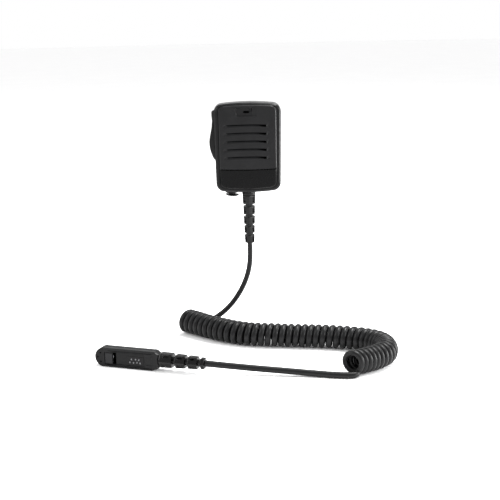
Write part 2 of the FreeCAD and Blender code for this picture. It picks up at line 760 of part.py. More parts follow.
def make_clip_base():
    disc = cylinder("clip_disc", "clip_disc_thick", ("0", "clip_gap", "0"), BACK)
    spigot = cylinder("spigot_radius", "4.3", ("0", "clip_gap", "0"), FORWARD)
    ears = []
    for side in (("-9.4", "-7.2"), ("7.2", "9.4")):
        ears.append(box((side[0], "clip_gap + 2", "5"), (side[1], "hinge_back + 2.6", "14.8")))
    bridge = box(("-9.4", "clip_gap", "5"), ("9.4", "clip_gap + clip_disc_thick", "12.5"))
    screw_hole = cylinder("1.5", "9", ("0", "-5", "0"), BACK)
    screw_seat = cylinder("3", "2", ("0", "clip_gap + clip_disc_thick - 1.6", "0"), BACK)
    pin_hole = cylinder("hinge_radius", "22", ("-11", "hinge_back", "hinge_high"), RIGHT)
    sub_part(cut(fuse(disc, spigot, bridge, *ears), screw_hole, screw_seat, pin_hole), "clip_base")
    sub_part(tube("6.6", "1.6", "0.8", ("0", "-4.1", "0"), FORWARD), "clip_washer")
    head = cylinder("2.9", "1.3", ("0", "clip_gap + clip_disc_thick - 1.6", "0"), BACK)
    shank = cylinder("1.45", "8.6", ("0", "clip_gap + clip_disc_thick - 1.6", "0"), FORWARD)
    nut = cylinder("2.8", "1.4", ("0", "-4.95", "0"), FORWARD)
    driver = box(("-2", "2.6", "-0.35"), ("2", "3.4", "0.35"))
    sub_part(cut(fuse(head, shank, nut), driver), "clip_swivel_screw")
    sub_part(cylinder("hinge_radius", "19.6", ("-9.8", "hinge_back", "hinge_high"), RIGHT), "clip_hinge_pin")


def make_clip_jaw():
    body = new_body("clip_jaw")
    sketch = sketch_on(body, "YZ_Plane")
    add_polygon(sketch, [
        ("hinge_back + 2.6", "28"),
        ("hinge_back + 4.8", "27.4"),
        ("hinge_back + 4.0", "20"),
        ("hinge_back + 3.4", "-14"),
        ("hinge_back + 2.2", "-21"),
        ("3.4", "-26.6"),
        ("clip_gap", "-27.4"),
        ("clip_gap", "-25.6"),
        ("2.6", "-24.6"),
        ("hinge_back + 0.2", "-19.6"),
        ("hinge_back + 1.2", "-14"),
        ("hinge_back + 1.6", "19"),
    ])
    pad(body, sketch, "jaw_width", midplane=True)
    knuckle = sketch_on(body, "YZ_Plane")
    add_circle(knuckle, "hinge_back", "hinge_high", "2.9")
    pad(body, knuckle, "13.8", midplane=True)
    middle = sketch_on(body, "YZ_Plane")
    add_box(middle, "hinge_back - 3.4", "hinge_high - 3.4", "hinge_back + 2.7", "hinge_high + 3.4")
    pocket(body, middle, "7.6", midplane=True)
    hole = sketch_on(body, "YZ_Plane")
    add_circle(hole, "hinge_back", "hinge_high", "hinge_radius + hinge_clear")
    pocket(body, hole, "20", midplane=True)
    window = sketch_on(body, "XZ_Plane", "-5")
    add_box(window, "-9.6", "3.6", "-7.0", "16.2")
    add_box(window, "7.0", "3.6", "9.6", "16.2")
    pocket(body, window, "10")
    sub_part(body, "clip_jaw")
    wire = 0.45
    turns = [torus("1.85", str(wire), (str(-2.975 + 0.85 * number), "hinge_back", "hinge_high"), RIGHT)
             for number in range(8)]
    sub_part(fuse(*turns), "clip_spring")


# ---------------------------------------------------------------- cord

def route_path(points):
    """Straight runs joined by tangent arcs, each arc as large as its two runs allow, and their radii."""
    corners = [Vector(*point) for point in points]
    edges = []
    radii = []
    start = corners[0]
    for before, corner, after in zip(corners, corners[1:], corners[2:]):
        into = corner - before
        out = after - corner
        reach = 0.45 * min(into.Length, out.Length)
        half_turn = into.getAngle(out) / 2
        radii.append(reach / math.tan(half_turn))
        into.normalize()
        out.normalize()
        arc_start = corner - into * reach
        arc_end = corner + out * reach
        inward = (out - into).normalize()
        middle = corner + inward * (radii[-1] / math.cos(half_turn) - radii[-1])
        edges.append(Part.LineSegment(start, arc_start).toShape())
        edges.append(Part.Arc(arc_start, middle, arc_end).toShape())
        start = arc_end
    edges.append(Part.LineSegment(start, corners[-1]).toShape())
    return Part.Wire(edges), radii


def make_tube(label, points, diameter):
    wire, radii = route_path(points)
    radius = value_of(diameter) / 2
    heading = wire.Edges[0].tangentAt(wire.Edges[0].FirstParameter)
    ring = Part.Wire([Part.Circle(Vector(*points[0]), heading, radius).toShape()])
    solid = wire.makePipeShell([ring], True, False)
    feature = doc.addObject("Part::Feature", label)
    feature.Shape = solid
    expected = math.pi * radius ** 2 * wire.Length
    print("%s: length %.1f, radii %s, volume %.4f of section times length" % (
        label, wire.Length, " ".join("%.0f" % r for r in radii), solid.Volume / expected))
    sub_part(feature, label)


def make_cord():
    make_tube("cord_head_tail", HEAD_TAIL, "cord_diameter")
    make_tube("cord_coil", COIL_AXIS, "coil_diameter")
    make_tube("cord_connector_tail", PLUG_TAIL, "cord_diameter")


# ---------------------------------------------------------------- connector

def plug_outline(sketch, low_x, high_x):
    """Side view of the connector between two stations: square sides with cut corners at the rear."""
    half = "plug_height/2"
    add_polygon(sketch, [
        (low_x + " + 4.5", "-" + half),
        (high_x, "-" + half),
        (high_x, half),
        (low_x + " + 4.5", half),
        (low_x, half + " - 3.2"),
        (low_x, "-" + half + " + 3.2"),
    ])


def make_connector_shells():
    body = new_body("connector_shell")
    sketch = sketch_on(body, "XZ_Plane", "-plug_thick/2")
    plug_outline(sketch, "0.5", "plug_length - 8.5")
    pad(body, sketch, "plug_thick/2 + 0.5")
    chamfer(body, "1.3", flat_at_y("-plug_thick/2"))
    hollow(body, "1.6", flat_at_y("0.5"))
    well = sketch_on(body, "XZ_Plane", "-plug_thick/2")
    add_box(well, "17", "-5.4", "41", "5.4")
    pocket(body, well, "1", backward=True)
    gate = sketch_on(body, "XZ_Plane", "-plug_thick/2")
    add_box(gate, "42.6", "-4.6", "49.4", "4.6")
    pocket(body, gate, "4", backward=True)
    sub_part(body, "connector_shell", PLUG_FRAME)

    body = new_body("connector_base")
    sketch = sketch_on(body, "XZ_Plane", "0.6")
    plug_outline(sketch, "0.5", "plug_length - 8.5")
    pad(body, sketch, "plug_thick/2 - 0.6")
    chamfer(body, "1", flat_at_y("plug_thick/2"))
    chamber = sketch_on(body, "XZ_Plane", "0.6")
    add_box(chamber, "4", "-6", "46", "6")
    pocket(body, chamber, "1.6", backward=True)
    contact_holes = sketch_on(body, "XZ_Plane", "plug_thick/2")
    for x, z in contact_places():
        add_circle(contact_holes, x, z, "1.05")
    pocket(body, contact_holes, "5")
    sub_part(body, "connector_base", PLUG_FRAME)


def contact_places():
    return [(str(14.0 + 4.0 * column), str(row)) for column in range(6) for row in (-2.6, 2.6)]


def make_connector_nose():
    half_turn = cylinder("plug_height/2", "plug_thick", ("plug_length - 8.6", "-plug_thick/2", "0"), BACK)
    keep = box(("plug_length - 8.4", "-plug_thick/2", "-plug_height/2"),
               ("plug_length", "plug_thick/2 - 0.6", "plug_height/2"))
    common = doc.addObject("Part::Common", "nose_common")
    common.Base = half_turn
    common.Tool = keep
    dimples = [cylinder("0.8", "1.4", (x, "plug_thick/2 - 1.6", z), BACK)
               for x, z in (("54.4", "3.9"), ("54.4", "-3.9"), ("57", "0"))]
    sub_part(cut(common, *dimples), "connector_nose", PLUG_FRAME)


def make_connector_details():
    plate = box(("17.3", "plug_thick/2 - 0.95", "-5.1"), ("40.7", "plug_thick/2 - 0.25", "5.1"))
    ribs = [box((str(20.0 + 1.9 * number), "plug_thick/2 - 0.5", "-2.6"),
                (str(20.9 + 1.9 * number), "plug_thick/2", "2.6")) for number in range(6)]
    sub_part(fuse(plate, *ribs), "connector_side_plate", PLUG_FRAME)
    button = box(("42.9", "plug_thick/2 - 1.6", "-4.3"), ("49.1", "plug_thick/2 + 0.9", "4.3"))
    stem = cylinder("1.5", "1", ("46", "plug_thick/2 - 2.4", "0"), BACK)
    sub_part(fuse(button, stem), "connector_latch", PLUG_FRAME)
    turns = [torus("2.3", "0.3", ("46", str(0.4 + 0.5 * number), "0"), BACK) for number in range(3)]
    sub_part(fuse(*turns), "connector_latch_spring", PLUG_FRAME)
    sub_part(box(("6", "-1.4", "-5.6"), ("41", "-0.7", "5.6")), "connector_board", PLUG_FRAME)
    contacts = [cylinder("0.98", "3.9", (x, "-5.4", z), BACK) for x, z in contact_places()]
    sub_part(group(*contacts), "connector_contacts", PLUG_FRAME)
    pegs = [cylinder("1.6", "2.3", (x, "-7.3", "0"), BACK) for x in ("7.6", "43")]
    sub_part(group(*pegs), "connector_guide_pegs", PLUG_FRAME)


def make_connector_relief():
    lengths = [11.1, 2.9, 8.6, 2.6, 8.1, 2.9, 3.2]
    radii = [(6.2, 6.0), (5.6, 5.3), (5.2, 5.0), (4.6, 4.3)]
    ribbed_relief("connector_strain_relief", ("0.3", "0", "1.2"), (-1, 0, 0), (3.1, 2.9), lengths, radii,
                  PLUG_FRAME)


# ---------------------------------------------------------------- build, check and write

def build():
    fill_sheet()
    make_front_cover()
    make_rear_cover()
    make_case_gasket()
    make_case_screws()
    make_grille_panel()
    make_lower_panel()
    make_grille_cloth()
    make_speaker()
    make_microphone()
    make_boards()
    make_ptt()
    make_earpiece_socket()
    make_jack_cap()
    make_head_relief()
    make_clip_base()
    make_clip_jaw()
    make_cord()
    make_connector_shells()
    make_connector_nose()
    make_connector_details()
    make_connector_relief()
    doc.recompute()


def check():
    for thing in doc.Objects:
        if "Invalid" in thing.State or "Error" in thing.State:
            raise RuntimeError("%s (%s) failed: %s" % (thing.Name, thing.Label, thing.State))
    for thing in SUB_PARTS:
        if thing.Shape.isNull() or not thing.Shape.isValid() or not thing.Shape.Solids:
            raise RuntimeError(thing.Label + " has no valid solid")


def write():
    os.makedirs("parts", exist_ok=True)
    for thing in SUB_PARTS:
        thing.Shape.exportStep(os.path.join("parts", thing.Label + ".step"))
        print("%-26s %d solids, volume %.1f" % (thing.Label, len(thing.Shape.Solids), thing.Shape.Volume))


build()
check()
write()
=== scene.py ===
import math

import bmesh
import bpy
import numpy as np
from mathutils import Matrix, Vector


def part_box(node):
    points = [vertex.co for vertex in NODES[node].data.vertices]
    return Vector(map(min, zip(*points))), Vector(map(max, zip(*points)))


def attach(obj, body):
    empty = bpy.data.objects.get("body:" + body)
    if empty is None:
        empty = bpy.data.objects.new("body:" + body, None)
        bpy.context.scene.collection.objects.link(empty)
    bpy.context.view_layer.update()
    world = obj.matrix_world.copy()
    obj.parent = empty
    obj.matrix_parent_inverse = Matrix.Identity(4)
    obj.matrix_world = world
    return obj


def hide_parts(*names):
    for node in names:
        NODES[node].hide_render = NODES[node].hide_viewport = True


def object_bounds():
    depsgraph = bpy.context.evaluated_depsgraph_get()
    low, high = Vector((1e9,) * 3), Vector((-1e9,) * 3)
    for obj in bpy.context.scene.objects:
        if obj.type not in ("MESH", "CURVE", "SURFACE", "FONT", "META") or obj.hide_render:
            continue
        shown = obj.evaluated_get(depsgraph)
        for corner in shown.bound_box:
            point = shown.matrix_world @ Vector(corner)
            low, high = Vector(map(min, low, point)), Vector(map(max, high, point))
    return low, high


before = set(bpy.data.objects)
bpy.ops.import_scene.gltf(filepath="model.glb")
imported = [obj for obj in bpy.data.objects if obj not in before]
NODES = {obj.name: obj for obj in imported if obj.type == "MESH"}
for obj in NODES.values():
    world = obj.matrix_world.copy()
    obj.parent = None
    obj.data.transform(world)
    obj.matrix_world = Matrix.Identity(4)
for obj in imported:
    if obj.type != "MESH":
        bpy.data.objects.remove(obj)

# Hand microphone with a curly cord and a side connector, over a pale floor. Blender works in metres; the
# shapes below are written in millimetres, in the CAD's frame: +Z up, the front of the head faces -Y.

MM = 0.001
CAD_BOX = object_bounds()
FLOOR_Z = CAD_BOX[0].z
# Depth of the plane through the middle of the head that holds the cord and the earpiece socket.
HEAD_MIDDLE = -14.5


def span(node):
    """Lowest and highest corner of a CAD node, in millimetres."""
    low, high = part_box(node)
    return low / MM, high / MM


# ---------------------------------------------------------------- meshes

class Shape:
    """Vertices in millimetres and faces, put together from simple parts and made into one mesh."""

    def __init__(self):
        self.points = []
        self.faces = []
        self.shaded_faces = []

    def slab(self, rows, face, inward, thickness, shade_from, place=Matrix.Identity(4)):
        """Solid slab with a flat back and a modelled front.

        Each row lists (x, depth, z), the depth being counted from the plane y = face in the direction inward.
        Faces that lie deeper than the given depth take the second material, painted shade for the hollows.
        """
        base = len(self.points)
        count = len(rows[0])
        for row in rows:
            self.points.extend(place @ Vector((x, face + inward * depth, z)) for x, depth, z in row)
        for number, (row, after) in enumerate(zip(rows, rows[1:])):
            for column in range(count - 1):
                corner = base + number * count + column
                depths = [point[1] for point in (*row[column:column + 2], *after[column:column + 2])]
                if min(depths) > shade_from:
                    self.shaded_faces.append(len(self.faces))
                self.faces.append((corner, corner + 1, corner + count + 1, corner + count))
        last = len(rows) - 1
        rim = [(0, column) for column in range(count)]
        rim += [(number, count - 1) for number in range(1, last + 1)]
        rim += [(last, column) for column in range(count - 2, -1, -1)]
        rim += [(number, 0) for number in range(last - 1, 0, -1)]
        back = len(self.points)
        for number, column in rim:
            x, _, z = rows[number][column]
            self.points.append(place @ Vector((x, face + inward * thickness, z)))
        for step, (number, column) in enumerate(rim):
            following = (step + 1) % len(rim)
            near = base + number * count + column
            far = base + rim[following][0] * count + rim[following][1]
            self.faces.append((near, back + step, back + following, far))
        self.faces.append(tuple(back + step for step in range(len(rim))))
        return self

    def loft(self, rings, caps=True):
        """Skin over closed rings that all have the same number of points."""
        count = len(rings[0])
        base = len(self.points)
        for ring in rings:
            self.points.extend(ring)
        for row in range(len(rings) - 1):
            for column in range(count):
                following = (column + 1) % count
                near = base + row * count
                far = near + count
                self.faces.append((near + column, near + following, far + following, far + column))
        if caps:
            last = base + (len(rings) - 1) * count
            self.faces.append(tuple(base + column for column in reversed(range(count))))
            self.faces.append(tuple(last + column for column in range(count)))
        return self

    def lathe(self, profile, steps, place):
        """Solid of revolution about local Z; the profile lists (radius, height) from one end to the other."""
        rings = []
        for radius, height in profile:
            turn = [2 * math.pi * step / steps for step in range(steps)]
            rings.append([place @ Vector((radius * math.cos(a), radius * math.sin(a), height)) for a in turn])
        return self.loft(rings)

    def mesh(self, name, smooth):
        """One mesh in metres; edges sharper than smooth, in degrees, stay hard."""
        data = bpy.data.meshes.new(name)
        data.from_pydata([tuple(Vector(p) * MM) for p in self.points], [], self.faces)
        make_outward(data)
        for number in self.shaded_faces:
            data.polygons[number].material_index = 1
        data.shade_smooth()
        data.set_sharp_from_angle(angle=math.radians(smooth))
        return data


def make_outward(data):
    """Turns the faces of each closed part outwards."""
    work = bmesh.new()
    work.from_mesh(data)
    bmesh.ops.recalc_face_normals(work, faces=work.faces)
    work.to_mesh(data)
    work.free()


def put(name, data):
    thing = bpy.data.objects.new(name, data)
    bpy.context.scene.collection.objects.link(thing)
    return thing


def piece(name, data, materials, body, stands_for=()):
    """A visible piece that rides on a CAD body, with the materials it is given; the CAD nodes it stands for
    are hidden.
    """
    thing = put(name, data)
    for material in materials:
        data.materials.append(material)
    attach(thing, body)
    if stands_for:
        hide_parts(*stands_for)
    return thing


def soften(thing, width):
    """Rounds the hard edges of a piece or of a CAD node."""
    bevel = thing.modifiers.new("soft edges", "BEVEL")
    bevel.width = width * MM
    bevel.segments = 3
    bevel.limit_method = "ANGLE"
    bevel.angle_limit = math.radians(30.0)
    bevel.use_clamp_overlap = True
    bevel.harden_normals = True


def soften_node(name, width):
    """Joins a CAD node's split facets and rounds its edges, all in modifiers."""
    thing = NODES[name]
    weld = thing.modifiers.new("weld", "WELD")
    weld.merge_threshold = 0.002 * MM
    planar = thing.modifiers.new("planar", "DECIMATE")
    planar.decimate_type = "DISSOLVE"
    planar.angle_limit = math.radians(1.0)
    soften(thing, width)


# ---------------------------------------------------------------- materials

class Finish:
    """A procedural material and the few nodes that every finish here is made from."""

    def __init__(self, name, roughness, **values):
        self.material = bpy.data.materials.new(name)
        self.material.use_nodes = True
        self.tree = self.material.node_tree
        self.shader = self.tree.nodes["Principled BSDF"]
        self.coords = self.tree.nodes.new("ShaderNodeTexCoord")
        self.shader.inputs["Roughness"].default_value = roughness
        for key, value in values.items():
            self.shader.inputs[key.replace("_", " ")].default_value = value

    def node(self, kind, **values):
        made = self.tree.nodes.new("ShaderNode" + kind)
        for key, value in values.items():
            made.inputs[key.replace("_", " ")].default_value = value
        return made

    def link(self, output, target):
        self.tree.links.new(output, target)

    def noise(self, scale, detail=2.0, stretch=None):
        """Noise over the object; scale counts features per metre."""
        made = self.node("TexNoise", Scale=scale, Detail=detail)
        if stretch:
            mapping = self.node("Mapping", Scale=stretch)
            self.link(self.coords.outputs["Object"], mapping.inputs["Vector"])
            self.link(mapping.outputs["Vector"], made.inputs["Vector"])
        else:
            self.link(self.coords.outputs["Object"], made.inputs["Vector"])
        return made.outputs["Fac"]

    def ramp(self, source, stops):
        made = self.node("ValToRGB")
        elements = made.color_ramp.elements
        while len(elements) < len(stops):
            elements.new(0.5)
        for element, (position, colour) in zip(elements, stops):
            element.position = position
            element.color = (*colour, 1.0)
        self.link(source, made.inputs["Fac"])
        return made.outputs["Color"]

    def map_range(self, source, low, high, start=0.3, end=0.7):
        made = self.node("MapRange", From_Min=start, From_Max=end, To_Min=low, To_Max=high)
        self.link(source, made.inputs["Value"])
        return made.outputs["Result"]

    def edges_worn_and_lit(self, colour, worn_and_lit_colour, radius=0.35):
        """Mixes in a lighter colour where the surface turns sharply: partly wear, partly a painted highlight
        along the edges.
        """
        rounded = self.node("Bevel", Radius=radius * MM)
        rounded.samples = 4
        flat = self.node("NewGeometry")
        dot = self.node("VectorMath")
        dot.operation = "DOT_PRODUCT"
        self.link(rounded.outputs["Normal"], dot.inputs[0])
        self.link(flat.outputs["Normal"], dot.inputs[1])
        amount = self.map_range(dot.outputs["Value"], 1.0, 0.0, start=0.88, end=0.995)
        broken = self.node("Math")
        broken.operation = "MULTIPLY"
        self.link(amount, broken.inputs[0])
        self.link(self.map_range(self.noise(420.0), 0.25, 1.0), broken.inputs[1])
        mix = self.node("Mix")
        mix.data_type = "RGBA"
        self.link(broken.outputs["Value"], mix.inputs["Factor"])
        self.link(colour, mix.inputs["A"])
        mix.inputs["B"].default_value = (*worn_and_lit_colour, 1.0)
        return mix.outputs["Result"]

    def bumps(self, *heights):
        """Chains bump nodes; each height is (source, depth in millimetres, strength)."""
        before = None
        for source, depth, strength in heights:
            made = self.node("Bump", Distance=depth * MM, Strength=strength)
            self.link(source, made.inputs["Height"])
            if before:
                self.link(before, made.inputs["Normal"])
            before = made.outputs["Normal"]
        self.link(before, self.shader.inputs["Normal"])


def grey(level, blue=1.06):
    return (level, level, level * blue)


def moulded(name, level, roughness, grain=0.28, depth=0.02, edge_wear_and_highlight=True, shine=0.14):
    """Moulded plastic with a spark-eroded grain, slight mottling, and lighter edges that are partly wear and
    partly painted highlight.
    """
    finish = Finish(name, roughness, Specular_IOR_Level=shine)
    mottle = finish.ramp(finish.noise(90.0, 4.0), [(0.3, grey(level * 0.84)), (0.7, grey(level * 1.16))])
    # Lighter edges: partly wear, partly painted highlight.
    colour = finish.edges_worn_and_lit(mottle, grey(level * 1.9)) if edge_wear_and_highlight else mottle
    finish.link(colour, finish.shader.inputs["Base Color"])
    finish.link(finish.map_range(finish.noise(260.0), roughness - 0.05, roughness + 0.05),
                finish.shader.inputs["Roughness"])
    finish.bumps((finish.noise(1000.0 / grain, 1.0), depth, 0.5), (finish.noise(300.0), 0.02, 0.15))
    return finish.material


def rubber(name, level, roughness, shine=0.15):
    """Matt rubber with fine pores, faint streaks from the mould, and lighter edges that are partly wear and
    partly painted highlight.
    """
    finish = Finish(name, roughness, Specular_IOR_Level=shine)
    streaks = finish.ramp(finish.noise(70.0, 5.0, stretch=(1, 1, 0.3)),
                          [(0.3, grey(level * 0.8, 1.03)), (0.72, grey(level * 1.25, 1.03))])
    # Lighter edges: partly wear, partly painted highlight.
    finish.link(finish.edges_worn_and_lit(streaks, grey(level * 1.8, 1.03), 0.3), finish.shader.inputs["Base Color"])
    finish.link(finish.map_range(finish.noise(500.0), roughness - 0.07, roughness + 0.05),
                finish.shader.inputs["Roughness"])
    finish.bumps((finish.noise(5200.0, 0.0), 0.012, 0.6), (finish.noise(420.0), 0.03, 0.12))
    return finish.material


def metal(name, colour, roughness):
    """Plated or turned metal with fine tool marks."""
    finish = Finish(name, roughness, Metallic=1.0)
    dull = tuple(channel * 0.72 for channel in colour)
    finish.link(finish.ramp(finish.noise(600.0, 3.0), [(0.35, dull), (0.65, colour)]),
                finish.shader.inputs["Base Color"])
    finish.link(finish.map_range(finish.noise(1500.0), roughness * 0.75, roughness * 1.35),
                finish.shader.inputs["Roughness"])
    finish.bumps((finish.noise(2500.0, 1.0), 0.008, 0.4))
    return finish.material


def woven(name, level):
    """Acoustic cloth: two crossing sets of threads."""
    finish = Finish(name, 0.85)
    threads = []
    for axis in ("X", "Z"):
        wave = finish.node("TexWave", Scale=620.0, Distortion=0.4)
        wave.bands_direction = axis
        finish.link(finish.coords.outputs["Object"], wave.inputs["Vector"])
        threads.append(wave.outputs["Fac"])
    weave = finish.node("Math")
    weave.operation = "MULTIPLY"
    finish.link(threads[0], weave.inputs[0])
    finish.link(threads[1], weave.inputs[1])
    finish.link(finish.ramp(weave.outputs["Value"], [(0.1, grey(level * 0.4)), (0.8, grey(level * 1.5))]),
                finish.shader.inputs["Base Color"])
    finish.bumps((weave.outputs["Value"], 0.12, 0.9))
    return finish.material


def circuit_board(name):
    """Solder mask with copper tracks showing through and tinned pads."""
    finish = Finish(name, 0.38)
    cells = finish.node("TexVoronoi", Scale=330.0)
    cells.distance = "MANHATTAN"
    finish.link(finish.coords.outputs["Object"], cells.inputs["Vector"])
    stops = [(0.06, (0.42, 0.40, 0.36)), (0.12, (0.015, 0.10, 0.045)), (0.6, (0.02, 0.15, 0.07))]
    finish.link(finish.ramp(cells.outputs["Distance"], stops), finish.shader.inputs["Base Color"])
    finish.bumps((cells.outputs["Distance"], 0.04, 0.5))
    return finish.material


def paper_cone(name):
    """Pressed paper with coarse fibres."""
    finish = Finish(name, 0.8)
    stops = [(0.3, (0.03, 0.028, 0.026)), (0.7, (0.07, 0.065, 0.06))]
    finish.link(finish.ramp(finish.noise(900.0, 5.0), stops), finish.shader.inputs["Base Color"])
    finish.bumps((finish.noise(1400.0, 4.0), 0.05, 0.6))
    return finish.material


def cord_jacket(name, level, roughness):
    """Polyurethane jacket: satin, with faint extrusion ripple and dust-fine pores."""
    finish = Finish(name, roughness, Specular_IOR_Level=0.18)
    finish.link(finish.ramp(finish.noise(140.0, 4.0), [(0.3, grey(level * 0.8)), (0.7, grey(level * 1.25))]),
                finish.shader.inputs["Base Color"])
    finish.link(finish.map_range(finish.noise(380.0, 3.0), roughness - 0.06, roughness + 0.08),
                finish.shader.inputs["Roughness"])
    finish.bumps((finish.noise(3600.0, 1.0), 0.01, 0.5), (finish.noise(240.0), 0.05, 0.2))
    return finish.material


def pale_floor():
    """Matt studio floor with a very slight unevenness."""
    finish = Finish("pale floor", 0.75, Specular_IOR_Level=0.2)
    stops = [(0.3, (0.955, 0.955, 0.958)), (0.7, (0.975, 0.975, 0.975))]
    finish.link(finish.ramp(finish.noise(6.0, 3.0), stops), finish.shader.inputs["Base Color"])
    finish.bumps((finish.noise(700.0, 2.0), 0.05, 0.1))
    return finish.material


CASE = moulded("case plastic", 0.005, 0.32)
PANEL = moulded("panel plastic", 0.0072, 0.36, grain=0.4, depth=0.03)
LOWER = moulded("lower panel plastic", 0.0016, 0.28, grain=0.2, depth=0.01, shine=0.1)
RELIEF = rubber("relief rubber", 0.0022, 0.26, shine=0.18)
PAD = rubber("push-to-talk rubber", 0.006, 0.4)
CAP = rubber("cap rubber", 0.004, 0.3)
SEAL = rubber("seal rubber", 0.02, 0.6)
JACKET = cord_jacket("cord jacket", 0.0045, 0.36)
PLUG = moulded("connector plastic", 0.0055, 0.34)
NOSE = moulded("nose plastic", 0.0035, 0.36)
PLATE = moulded("plate plastic", 0.004, 0.38)
LATCH = moulded("latch plastic", 0.014, 0.36)
CLIP = moulded("clip plastic", 0.009, 0.36)
INNER = moulded("inner plastic", 0.02, 0.5, edge_wear_and_highlight=False)
MARK = moulded("grip plastic", 0.11, 0.35, shine=0.4)
# Near-black painted shade for the insides of slots, gaps and openings, and for the microphone capsule seen
# through its port.
SHADE_BLACK = moulded("painted shade black", 0.0008, 0.9, edge_wear_and_highlight=False, shine=0.02)
STEEL = metal("plated steel", (0.62, 0.62, 0.64), 0.28)
SPRING = metal("spring steel", (0.5, 0.5, 0.52), 0.24)
ALUMINIUM = metal("aluminium", (0.78, 0.78, 0.8), 0.32)
MAGNET = metal("magnet", (0.24, 0.25, 0.27), 0.35)
GOLD = metal("contact gold", (0.85, 0.62, 0.25), 0.25)
CLOTH = woven("acoustic cloth", 0.02)
BOARD = circuit_board("circuit board")
PAPER = paper_cone("cone paper")

FINISHES = {
    CASE: ("front_cover", "rear_cover", "jack_bezel"),
    PANEL: ("grille_panel",),
    LOWER: ("lower_panel",),
    SEAL: ("case_gasket", "speaker_gasket", "mic_boot"),
    SHADE_BLACK: ("mic_capsule",),
    RELIEF: ("head_strain_relief", "connector_strain_relief"),
    PAD: ("ptt_button",),
    CAP: ("jack_cap",),
    JACKET: ("cord_head_tail", "cord_coil", "cord_connector_tail"),
    PLUG: ("connector_shell", "connector_base"),
    NOSE: ("connector_nose",),
    PLATE: ("connector_side_plate",),
    LATCH: ("connector_latch",),
    CLIP: ("clip_base", "clip_jaw"),
    INNER: ("ptt_frame", "ptt_switch", "ptt_plunger", "cord_clamp", "earpiece_jack", "audio_chip"),
    STEEL: ("case_screws", "clamp_screws", "clip_swivel_screw", "clip_hinge_pin", "clip_washer",
            "jack_cap_pin", "speaker_frame"),
    SPRING: ("clip_spring", "connector_latch_spring"),
    ALUMINIUM: ("connector_guide_pegs",),
    MAGNET: ("speaker_magnet",),
    GOLD: ("connector_contacts",),
    CLOTH: ("grille_cloth",),
    BOARD: ("main_board", "ptt_board", "connector_board"),
    PAPER: ("speaker_cone",),
}
# Width of the rounding on the edges of the CAD nodes that show, in millimetres.
SOFT_EDGES = {
    "front_cover": 0.5, "rear_cover": 0.5, "jack_bezel": 0.2, "case_screws": 0.1,
    "connector_base": 0.4, "connector_nose": 0.4, "connector_latch": 0.2, "clip_base": 0.3, "clip_jaw": 0.3,
}


def dress_nodes():
    """Gives every CAD node its finish, and rounds the edges of those that show."""
    for material, names in FINISHES.items():
        for name in names:
            for place in NODES[name].material_slots:
                place.material = material
    for name, width in SOFT_EDGES.items():
        soften_node(name, width)


# ---------------------------------------------------------------- pieces of the head

def ease(low, high, value):
    """Smooth step from 0 at low to 1 at high."""
    share = min(1.0, max(0.0, (value - low) / (high - low)))
    return share * share * (3 - 2 * share)


def stations(low, high, step, *extra):
    """Even stations between two ends, with more where they are asked for."""
    count = round((high - low) / step)
    even = [low + (high - low) * number / count for number in range(count + 1)]
    wanted = sorted(set(even) | set(extra))
    return wanted[:1] + [value for before, value in zip(wanted, wanted[1:]) if value - before > 0.01]


def blended(curves, counts):
    """Rows between neighbouring curves; each curve lists (x, depth, z) for the same columns."""
    rows = [curves[0]]
    for before, after, count in zip(curves, curves[1:], counts):
        for step in range(1, count + 1):
            share = step / count
            rows.append([tuple(a + (b - a) * share for a, b in zip(p, q)) for p, q in zip(before, after)])
    return rows


SLOTS = 5
SLOT_FIRST = -12.0
SLOT_PITCH = 7.2
SLOT_DEPTH = 1.9
SLOT_ENDS = (-18.6, 16.5)
# Left and right end of the microphone's port.
PORT_ENDS = (-3.6, 1.7)
PANEL_FRONT = -26.0
PANEL_THICK = 1.95
# Faces deeper than this take the second, near-black material: painted shade in the slots, the port and the
# joint line.
PANEL_SHADE_DEPTH = SLOT_DEPTH - 0.2
# Distances from a panel's outer edge: a joint line first, deep enough to take the painted shade, then the
# bevel.
JOINT = 0.5
BEVEL = 1.35
EDGES = (0.0, 0.3, 0.46, 0.5, 0.65, 0.85, 1.1, 1.35, 1.7)


class PanelOutline:
    """Outline of a front panel: upright sides and a crowned far edge between round corners."""

    def __init__(self, half, far, crown):
        self.half = half
        self.far = far
        self.crown = crown
        self.corner = 5.5

    def level(self, x):
        """Height of the crowned far edge, as if the corners were square."""
        return self.far + self.crown * (1 - (x / self.half) ** 2)

    def edge(self, x):
        """Height of the far edge with its round corners."""
        past = max(0.0, abs(x) - (self.half - self.corner))
        return self.level(x) - self.corner + math.sqrt(max(0.0, self.corner ** 2 - past ** 2))

    def rim(self, x, z):
        """Depth of the joint line and of the bevel at a place on the panel; the joint line goes deep enough
        to take the painted shade.
        """
        side = self.half - abs(x)
        top = self.level(x) - z
        if side < self.corner and top < self.corner:
            distance = self.corner - math.hypot(self.corner - side, self.corner - top)
        else:
            distance = min(side, top)
        return SLOT_DEPTH if distance < JOINT - 0.02 else max(0.0, BEVEL - distance)

    def curve(self, columns, height, depth):
        """One curve across the panel, from its height and its depth at each column."""
        made = []
        for x in columns:
            z = min(height(x), self.edge(x))
            made.append((x, max(depth(x, z), self.rim(x, z)), z))
        return made

    def columns(self, step, *extra):
        """Places across the panel, close together at both sides."""
        edges = [side * (self.half - edge) for side in (-1, 1) for edge in EDGES]
        return stations(-self.half, self.half, step, *edges, *extra)

    def far_curves(self, columns):
        """Curves close to the far edge, the outermost last."""
        return [self.curve(columns, lambda x, edge=edge: self.edge(x) - edge, flush)
                for edge in reversed(EDGES)]


def flush(x, z):
    """Depth of the panel's plain face."""
    return 0.0


def in_order(curves):
    """Keeps every curve beyond the one before it."""
    for low, high in zip(curves, curves[1:]):
        for place, (x, depth, z) in enumerate(high):
            if z < low[place][2]:
                high[place] = (x, max(depth, low[place][1]), low[place][2] + 0.0005)
    return curves


